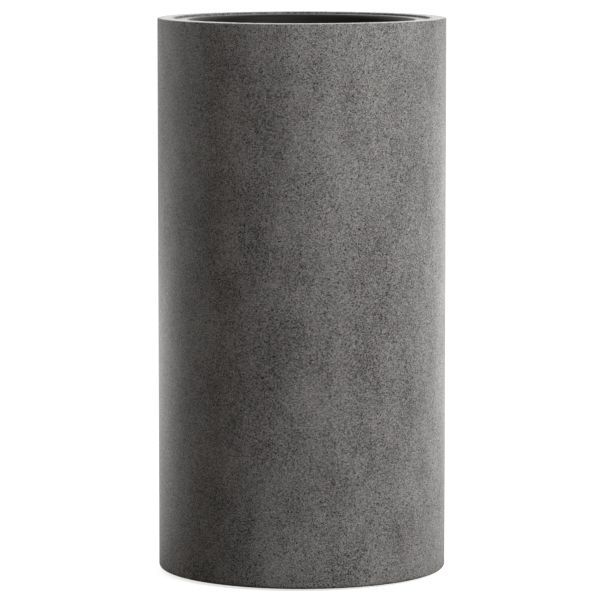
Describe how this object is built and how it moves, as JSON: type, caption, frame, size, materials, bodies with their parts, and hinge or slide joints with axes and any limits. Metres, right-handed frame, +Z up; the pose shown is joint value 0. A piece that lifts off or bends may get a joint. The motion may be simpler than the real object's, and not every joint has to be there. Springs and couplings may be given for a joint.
{
  "type": "tall round planter",
  "caption": "Tall straight round floor planter with a flat turned-in rim and a drop-in inner pot that lifts out.",
  "frame": {"origin": "on the floor, under the middle of the planter", "axes": "+Z up along the planter's axis; the liner's two hand slots lie on the X axis; +Y points away from the viewer"},
  "size_m": [0.4, 0.3998, 0.77],
  "materials": {
    "shell_composite": "matte",
    "bare_laminate": "satin",
    "liner_plastic": "satin",
    "closed_cell_foam": "matte",
    "black_rubber": "matte"
  },
  "bodies": {
    "planter": {"outer_shell": "shell_composite", "base_disc": "bare_laminate", "corner_strip": "bare_laminate", "seat_foam": "closed_cell_foam", "foot_pad_1": "black_rubber", "foot_pad_2": "black_rubber", "foot_pad_3": "black_rubber", "foot_pad_4": "black_rubber"},
    "liner": {"liner": "liner_plastic"},
    "bung": {"drain_bung": "black_rubber"}
  },
  "joints": [
    {"name": "liner_lift", "type": "slide", "parent": "planter", "child": "liner", "axis": [0, 0, 1], "range_m": [0, 0.36]},
    {"name": "bung_pull", "type": "slide", "parent": "planter", "child": "bung", "axis": [0, 0, 1], "range_m": [0, 0.06]}
  ]
}
